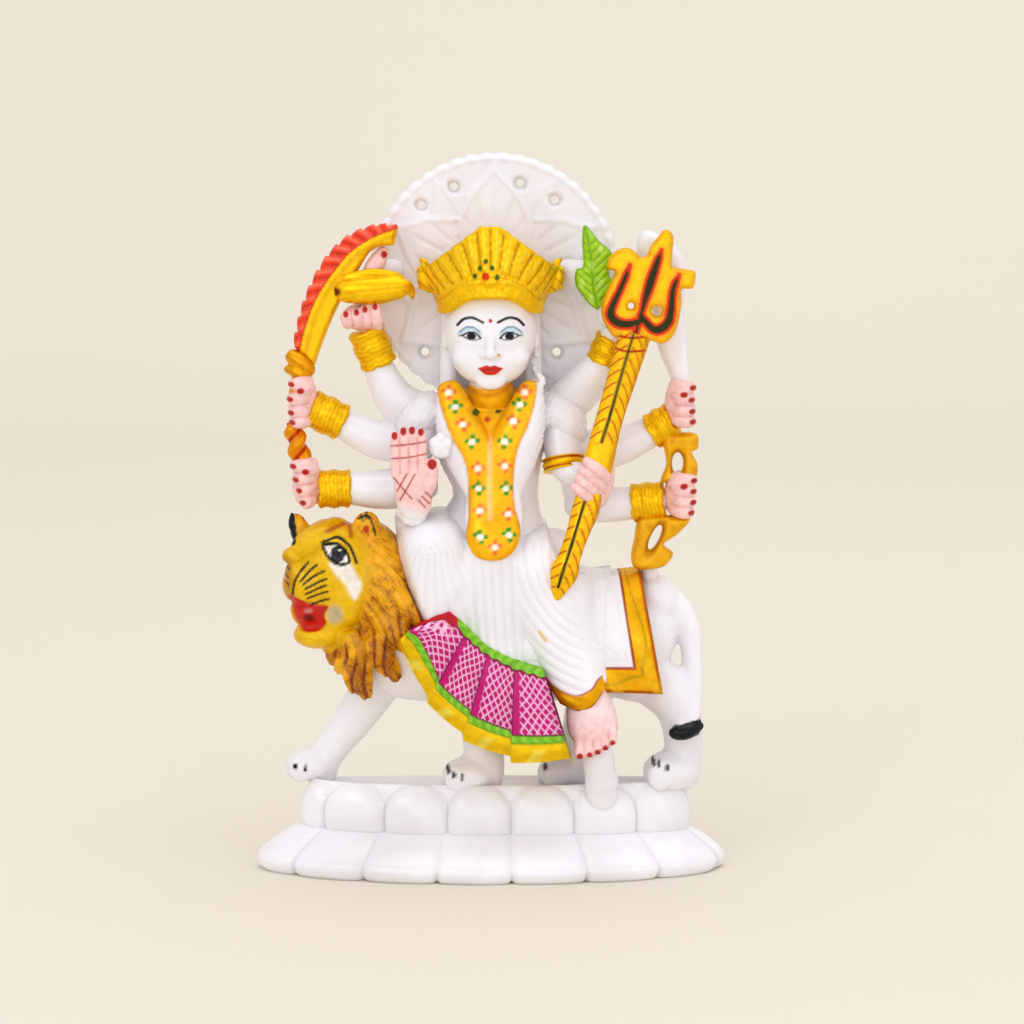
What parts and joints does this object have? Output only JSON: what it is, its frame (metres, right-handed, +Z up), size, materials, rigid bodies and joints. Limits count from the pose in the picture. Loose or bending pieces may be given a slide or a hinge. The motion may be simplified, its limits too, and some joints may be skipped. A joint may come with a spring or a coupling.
{
  "type": "devotional figurine",
  "caption": "Painted marble statuette of a many-armed goddess riding a lion before a round pierced halo, on a two-tier lobed plinth, carved in one piece.",
  "frame": {"origin": "centre of the flat underside of the plinth", "axes": "+Z up, -Y towards the viewer that the goddess faces, +X towards the viewer's right, where the lion's tail is"},
  "size_m": [0.1482, 0.0558, 0.225],
  "materials": {
    "marble": "polished white marble",
    "gold_paint": "gold lacquer brushed over the carved stone",
    "colour_paint": "enamel colours brushed over the carved stone"
  },
  "bodies": {
    "root": {"durga_figure": "marble"}
  },
  "joints": []
}
